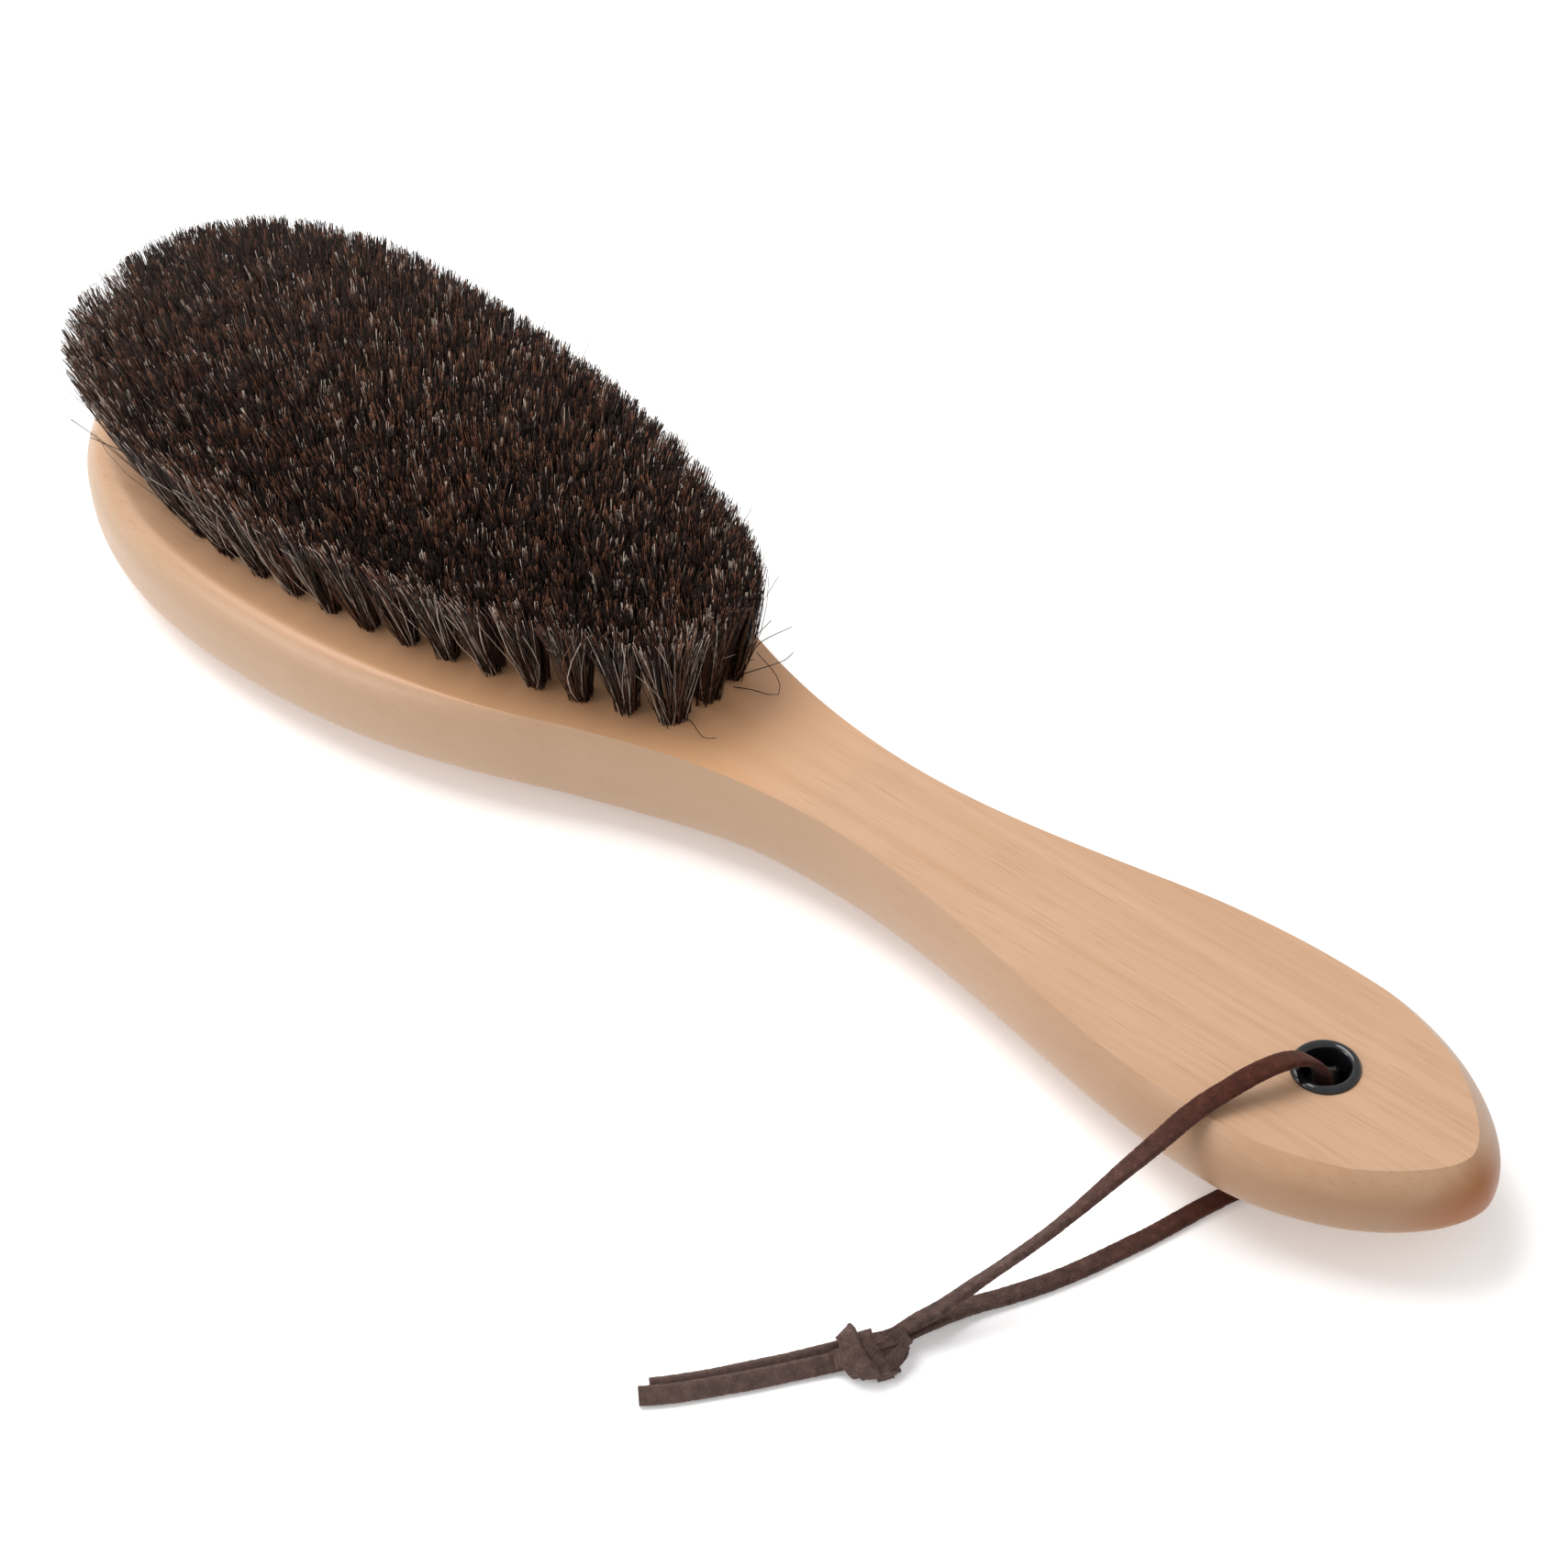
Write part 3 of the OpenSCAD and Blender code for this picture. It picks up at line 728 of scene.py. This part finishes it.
HAIR = [
    hair_material("hair_black", (0.002, 0.0013, 0.0012), (0.008, 0.005, 0.0045), 0.32),
    hair_material("hair_dark_brown", (0.012, 0.0055, 0.004), (0.04, 0.018, 0.013), 0.36),
    hair_material("hair_chestnut", (0.075, 0.03, 0.017), (0.25, 0.106, 0.06), 0.4),
    hair_material("hair_pale", (0.28, 0.21, 0.165), (0.75, 0.62, 0.52), 0.42),
]
# Share of each tone in the field and on its near rim
HAIR_SHARES = (0.6, 0.19, 0.175, 0.035)
RIM_SHARES = (0.38, 0.22, 0.24, 0.16)
RIM_TONES_FROM, PALE_STRAYS = 0.3, 0.4
HAIR_COUNT = 54000
HAIR_STEPS = 5
HAIR_RADII = (0.055, 0.105)
HAIR_TAPER = (1.1, 0.65)

# Tips: the share gathered in clumps, the hairs to a clump and how far they spread, and
# the extra hairs of the far rim
CLUMPED, CLUMP_SIZE, CLUMP_SPREAD = 0.52, 9, 0.32
CROWDED_FROM, CROWD_SPREAD = 0.8, 0.3
TIP_ROOM = 1.25
# Neighbours often share a tone, so that tones gather in specks of this size
SPECK, SPECKED, PATCHES = 0.65, 0.6, 512

# Roots spread a little in their tuft, and the trimmed tips vary in height
TUFT_REACH, REACH_SPREAD = 6.6, 0.3
ROOT_SPREAD, ROOT_JITTER, ROOT_DEPTH = 1.6, 0.35, 0.6
RIM_FROM, RIM_WIDTH = 0.72, 0.28
HEIGHT_SPREAD, NEAR_DROP, FAR_RISE = 0.28, 0.7, 0.5
FLARE_POWER, BEND, STRAY_BEND = 1.3, 0.5, 1.2
# Strays: their chance in the field and on its near and far rim, and how far they leave it
STRAY_FIELD, STRAY_NEAR, STRAY_FAR = 0.008, 0.085, 0.02
STRAY_SPREAD, STRAY_DROP = 1.6, 2.5

# Splayed hairs of the last tufts: where they start, how far out and up they go, and how far aside
NECK_STRAYS = 34
NECK_ROOT_X, NECK_ROOT_Y, NECK_ROOT_DEPTH = (70, 72.5), (-9, 10), 0.5
NECK_OUT, NECK_RISE = (2, 7.5), (9, 20)
NECK_ASIDE, NECK_ASIDE_SPREAD = 0.25, 1.3
NECK_MIDDLE = (0.3, 0.3, 0.55)
STRAY_TONES = (0.5, 0.35, 0.15, 0)
STRAY_RADIUS, STRAY_TIP, STRAY_STEPS = 0.1, 0.6, 12
STRAY_CURVE_STEPS, STRAY_SPACING = 8, 0.1
# Three long hairs that curl out over the neck
STRAY_LOOPS = [
    [(72, 4, 19.5), (76, 5, 20.6), (80.5, 6.5, 21), (79.5, 7.5, 23.5), (75.5, 7.5, 26)],
    [(72, 7, 19.5), (75.5, 8.5, 22), (79.5, 9, 25.5), (82, 8.5, 29)],
    [(71.5, -5, 19.5), (74.5, -6, 21), (78, -7.2, 20.8), (80.5, -7, 22)],
]

# Outline of the trimmed top: an oval, wider towards the head, and a little fuller on its far side
TOP_X, TOP_REACH, TOP_HALF, TOP_TAPER, TOP_ROUNDNESS = 12.4, 67.2, 29.8, 0.2, 2.35
FAR_WIDER, FAR_TAPER, FAR_HEAD_ROUNDNESS = 1.035, 0.25, 2.5


def top_edge(x, y):
    """0 in the middle of the trimmed top and 1 on its rim."""
    u = np.clip((x - TOP_X) / TOP_REACH, -1, 1)
    half = TOP_HALF * np.where(y > 0, FAR_WIDER * (1 - FAR_TAPER * u), 1 - TOP_TAPER * u)
    power = np.where((y > 0) & (x < TOP_X), FAR_HEAD_ROUNDNESS, TOP_ROUNDNESS)
    return (np.abs(x - TOP_X) / TOP_REACH) ** power + (np.abs(y) / half) ** power


def hair_tips(count):
    """Places of the trimmed tips, partly gathered in small clumps."""
    found = []
    while sum(len(batch) for batch in found) < count:
        x = rng.uniform(TOP_X - TOP_REACH, TOP_X + TOP_REACH, count)
        y = rng.uniform(-TIP_ROOM * TOP_HALF, TIP_ROOM * TOP_HALF, count)
        clumped = rng.rand(count) < CLUMPED
        leader = rng.randint(0, max(1, count // CLUMP_SIZE), count)
        x = np.where(clumped, x[leader] + rng.normal(0, CLUMP_SPREAD, count), x)
        y = np.where(clumped, y[leader] + rng.normal(0, CLUMP_SPREAD, count), y)
        keep = top_edge(x, y) < 1
        crowded = keep & (top_edge(x, y) > CROWDED_FROM) & (y > 0)
        extra = np.stack([x[crowded], y[crowded]], axis=1)
        extra = extra + rng.normal(0, CROWD_SPREAD, (crowded.sum(), 2))
        found.append(np.concatenate([np.stack([x[keep], y[keep]], axis=1), extra]))
    found = np.concatenate(found)
    return found[rng.permutation(len(found))[:count]]


def speckled(tips):
    """A random share for each hair, often the same one for neighbours, so that tones gather in specks."""
    patches = rng.rand(PATCHES, PATCHES)
    cells = np.floor(tips / SPECK + PATCHES // 2).astype(int)
    shared = patches[cells[:, 0], cells[:, 1]]
    return np.where(rng.rand(len(tips)) < SPECKED, shared, rng.rand(len(tips)))


def hair_field():
    """Centre lines, radii, tones and row numbers of all the hairs."""
    tufts = np.array([(k, x, y) for k in range(ROW_COUNT) for x, y in row_places(k)], float)
    leans = np.array([lean(x, y) for k, x, y in tufts])
    tops = tufts[:, 1:] + leans
    tips = hair_tips(HAIR_COUNT)
    away = np.linalg.norm(tips[:, None, :] - tops[None, :, :], axis=2)
    owner = away.argmin(axis=1)
    distance = away[np.arange(len(tips)), owner]
    keep = distance < TUFT_REACH + rng.normal(0, REACH_SPREAD, len(tips))
    tips, owner = tips[keep], owner[keep]
    count = len(tips)
    offset = tips - tops[owner]
    root = tufts[owner, 1:] + offset / TUFT_REACH * ROOT_SPREAD
    root = root + rng.normal(0, ROOT_JITTER, (count, 2))
    rim = np.clip((top_edge(tips[:, 0], tips[:, 1]) - RIM_FROM) / RIM_WIDTH, 0, 1)
    near = tips[:, 1] < 0
    stray = rng.rand(count) < STRAY_FIELD + np.where(near, STRAY_NEAR, STRAY_FAR) * rim
    tips = tips + np.where(stray, 1.0, 0.0)[:, None] * rng.normal(0, STRAY_SPREAD, (count, 2))
    height = BRISTLE_HEIGHT + rng.normal(0, HEIGHT_SPREAD, count)
    height = height - np.where(near, NEAR_DROP, -FAR_RISE) * rim * rng.rand(count)
    height = np.where(stray, height - np.abs(rng.normal(0, STRAY_DROP, count)), height)
    bend = rng.normal(0, BEND, (count, 2)) * (1 + STRAY_BEND * stray)[:, None]
    lines = np.zeros((count, HAIR_STEPS, 3))
    for k, s in enumerate(np.linspace(0, 1, HAIR_STEPS)):
        flare = tips - root - leans[owner]
        bent = bend * math.sin(math.pi * s)
        lines[:, k, :2] = root + leans[owner] * s + flare * s ** FLARE_POWER + bent
        lines[:, k, 2] = FACE_Z - ROOT_DEPTH + (height + ROOT_DEPTH) * s
    radius = rng.uniform(*HAIR_RADII, count)
    radii = radius[:, None] * np.linspace(*HAIR_TAPER, HAIR_STEPS)[None, :]
    tones = np.searchsorted(np.cumsum(HAIR_SHARES)[:-1], speckled(tips))
    tones = np.where((rim > RIM_TONES_FROM) & near, rng.choice(len(HAIR), count, p=RIM_SHARES), tones)
    tones = np.where(stray & near & (rng.rand(count) < PALE_STRAYS), len(HAIR) - 1, tones)
    return lines, radii, tones, tufts[owner, 0].astype(int)


def loose_hair(points):
    """One long stray through a few points, as a centre line with its radii."""
    line = resampled(smooth_route(points, STRAY_CURVE_STEPS), STRAY_SPACING)
    line = line[np.linspace(0, len(line) - 1, STRAY_STEPS).astype(int)]
    return line, np.full(STRAY_STEPS, STRAY_RADIUS) * np.linspace(1, STRAY_TIP, STRAY_STEPS)


def neck_strays():
    """Hairs that splay out of the last tufts, towards the handle."""
    lines, radii = [], []
    for k in range(NECK_STRAYS):
        y = rng.uniform(*NECK_ROOT_Y)
        root = np.array((rng.uniform(*NECK_ROOT_X), y, FACE_Z - NECK_ROOT_DEPTH))
        out, side = rng.uniform(*NECK_OUT), y * NECK_ASIDE + rng.normal(0, NECK_ASIDE_SPREAD)
        top = np.array((out, side, rng.uniform(*NECK_RISE)))
        line, radius = loose_hair([root, root + top * NECK_MIDDLE, root + top])
        lines.append(line)
        radii.append(radius)
    for route in STRAY_LOOPS:
        line, radius = loose_hair(route)
        lines.append(line)
        radii.append(radius)
    return np.array(lines), np.array(radii)


def hair_mesh(name, lines, radii, tones):
    """Three-sided tapering tubes, one for each hair, closed at the tip."""
    count, steps = radii.shape
    along = np.zeros_like(lines)
    along[:, 1:-1] = lines[:, 2:] - lines[:, :-2]
    along[:, 0] = lines[:, 1] - lines[:, 0]
    along[:, -1] = lines[:, -1] - lines[:, -2]
    along /= np.linalg.norm(along, axis=2, keepdims=True)
    side = np.cross(along, np.array([1.0, 0.0, 0.0]))
    side /= np.linalg.norm(side, axis=2, keepdims=True)
    out = np.cross(along, side)
    turn = rng.uniform(0, 2 * math.pi, count)
    corners = []
    for k in range(3):
        a = (turn + 2 * math.pi * k / 3)[:, None, None]
        corners.append(lines + (side * np.cos(a) + out * np.sin(a)) * radii[:, :, None])
    points = np.stack(corners, axis=2).reshape(-1, 3)
    tube = []
    for j in range(steps - 1):
        for k in range(3):
            a, b = j * 3 + k, j * 3 + (k + 1) % 3
            tube.append((a, b, b + 3, a + 3))
    tube = np.array(tube)
    quads = (np.arange(count) * steps * 3)[:, None, None] + tube[None, :, :]
    quads = quads.reshape(-1, 4)
    last = (steps - 1) * 3
    ends = (np.arange(count) * steps * 3)[:, None] + np.array([last, last + 1, last + 2])[None, :]
    mesh = bpy.data.meshes.new(name)
    mesh.vertices.add(len(points))
    mesh.vertices.foreach_set("co", (points * MM).ravel())
    loops = np.concatenate([quads.ravel(), ends.ravel()])
    mesh.loops.add(len(loops))
    mesh.loops.foreach_set("vertex_index", loops.astype(np.int32))
    starts = np.concatenate([np.arange(len(quads)) * 4, len(quads) * 4 + np.arange(count) * 3])
    totals = np.concatenate([np.full(len(quads), 4), np.full(count, 3)])
    mesh.polygons.add(len(starts))
    mesh.polygons.foreach_set("loop_start", starts.astype(np.int32))
    mesh.polygons.foreach_set("loop_total", totals.astype(np.int32))
    mesh.polygons.foreach_set("use_smooth", np.ones(len(starts), bool))
    slots = np.concatenate([np.repeat(tones, len(tube)), tones])
    for material in HAIR:
        mesh.materials.append(material)
    mesh.polygons.foreach_set("material_index", slots.astype(np.int32))
    mesh.update()
    mesh.validate()
    return mesh


def joined(name, *meshes):
    """One mesh made of several that share the same materials."""
    bm = bmesh.new()
    for mesh in meshes:
        bm.from_mesh(mesh)
    out = bpy.data.meshes.new(name)
    for material in HAIR:
        out.materials.append(material)
    bm.to_mesh(out)
    bm.free()
    return out


hair_lines, hair_radii, hair_tones, hair_rows = hair_field()
stray_lines, stray_radii = neck_strays()
stray_tones = rng.choice(len(HAIR), len(stray_lines), p=STRAY_TONES)
for k in range(ROW_COUNT):
    mine = hair_rows == k
    name = f"bristle_row_{k + 1:02d}"
    mesh = hair_mesh(name, hair_lines[mine], hair_radii[mine], hair_tones[mine])
    if k == ROW_COUNT - 1:
        strays = hair_mesh("strays", stray_lines, stray_radii, stray_tones)
        mesh = joined(name, mesh, strays)
    row = bpy.data.objects.new(name, mesh)
    bpy.context.scene.collection.objects.link(row)
    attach(row, "root")
    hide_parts(f"tuft_row_{k + 1:02d}")


# ---------------------------------------------------------------- eyelets and anchors
def enamel_material():
    n = Nodes("black_enamel")
    wear = n.noise(n.coords((1, 1, 1)), 700, 4, 0.6)
    n.set(Base_Color=n.ramp(wear, (0.3, (0.004, 0.004, 0.005)), (0.8, (0.012, 0.013, 0.015))))
    n.set(Roughness=n.grey(wear, 0.3, 0.8, 0.1, 0.2), Specular_IOR_Level=0.4, Metallic=0.0)
    n.set(Coat_Weight=0.35, Coat_Roughness=0.05)
    n.bump(wear, 0.05, 0.00005)
    return n.material


ENAMEL = enamel_material()

# Steps over the rolled flange and round the eyelet, rings down its bore, and the small gap that
# the flange's underside leaves at the barrel
ROLL_STEPS, EYELET_SIDES = 17, 96
LIP_DEPTHS = (2, 0.6)
UNDERCUT, UNDERCUT_DEPTH = 0.1, 0.2


def eyelet_piece(name, node, seat_z, way):
    """Rolled flange and thin barrel, turned about the eyelet's axis; way is 1 upwards or -1 downwards."""
    roll_r = (FLANGE_R - BORE_R) / 2
    outer_r = BORE_R + EYELET_WALL
    profile = [(outer_r, -BARREL_LENGTH), (BORE_R, -BARREL_LENGTH)]
    profile += [(BORE_R, -below) for below in LIP_DEPTHS]
    for a in np.radians(np.linspace(180, 0, ROLL_STEPS)):
        profile.append((BORE_R + roll_r + roll_r * math.cos(a), roll_r * math.sin(a)))
    profile += [(FLANGE_R, 0.0), (outer_r + UNDERCUT, 0.0), (outer_r, -UNDERCUT_DEPTH)]
    points, faces = [], []
    for i in range(EYELET_SIDES):
        a = 2 * math.pi * i / EYELET_SIDES
        points += [(EYELET_X + r * math.cos(a), r * math.sin(a), seat_z + way * z) for r, z in profile]
    count = len(profile)
    for i in range(EYELET_SIDES):
        onward = (i + 1) % EYELET_SIDES * count
        for j in range(count):
            a, b = i * count + j, i * count + (j + 1) % count
            c, d = onward + (j + 1) % count, onward + j
            faces.append((a, b, c, d) if way < 0 else (d, c, b, a))
    mesh = mesh_from(name, points, faces)
    bm = bmesh.new()
    bm.from_mesh(mesh)
    bmesh.ops.remove_doubles(bm, verts=bm.verts, dist=1e-7)
    bmesh.ops.recalc_face_normals(bm, faces=bm.faces)
    bm.to_mesh(mesh)
    bm.free()
    piece = new_object(name, mesh, ENAMEL)
    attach(piece, "root")
    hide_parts(node)


eyelet_piece("front_eyelet", "eyelet_front", FACE_Z, 1)
eyelet_piece("back_eyelet", "eyelet_back", BACK_SEAT_Z, -1)


def wire_material():
    n = Nodes("anchor_wire")
    drawn = n.noise(n.coords((1, 60, 1)), 400, 3, 0.6)
    n.set(Base_Color=n.ramp(drawn, (0.3, (0.4, 0.4, 0.42)), (0.7, (0.62, 0.62, 0.64))), Metallic=1.0)
    n.set(Roughness=n.grey(drawn, 0.3, 0.7, 0.25, 0.4))
    return n.material


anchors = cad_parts["tuft_anchors"]
anchors.data.materials.clear()
anchors.data.materials.append(wire_material())


# ---------------------------------------------------------------- floor, light and world
def plain_material(name, colour, rough, glow):
    n = Nodes(name)
    n.set(Base_Color=colour, Roughness=rough, Specular_IOR_Level=0.2)
    n.set(Emission_Color=(1.0, 1.0, 1.0), Emission_Strength=glow)
    return n.material


FLOOR_REACH = 3000
floor_corners = [(x * FLOOR_REACH, y * FLOOR_REACH, 0) for x, y in ((-1, -1), (1, -1), (1, 1), (-1, 1))]
floor_mesh = mesh_from("floor", floor_corners, [(0, 1, 2, 3)])
floor = new_object("floor", floor_mesh, plain_material("floor", (0.95, 0.95, 0.95), 0.7, 0.16))


def area_light(name, place, aim, size, power):
    """Rectangular light at a place in metres, aimed at a point, with its power in watts."""
    light = bpy.data.objects.new(name, bpy.data.lights.new(name, "AREA"))
    light.data.shape = "RECTANGLE"
    light.data.size, light.data.size_y = size
    light.data.energy = power
    light.location = place
    light.rotation_euler = (Vector(aim) - Vector(place)).to_track_quat("-Z", "Y").to_euler()
    bpy.context.scene.collection.objects.link(light)


area_light("key_light", place=(-0.35, -0.1, 0.95), aim=(0.05, 0, 0), size=(0.7, 0.7), power=9)
area_light("front_fill", place=(-0.45, -0.85, 0.4), aim=(0.03, 0, 0.01), size=(0.6, 0.4), power=3)

WORLD_COLOUR, WORLD_STRENGTH = (1, 1, 1, 1), 0.7
world = bpy.data.worlds.new("studio")
world.use_nodes = True
world.node_tree.nodes["Background"].inputs["Color"].default_value = WORLD_COLOUR
world.node_tree.nodes["Background"].inputs["Strength"].default_value = WORLD_STRENGTH
bpy.context.scene.world = world
bpy.context.scene.view_settings.view_transform = "Standard"
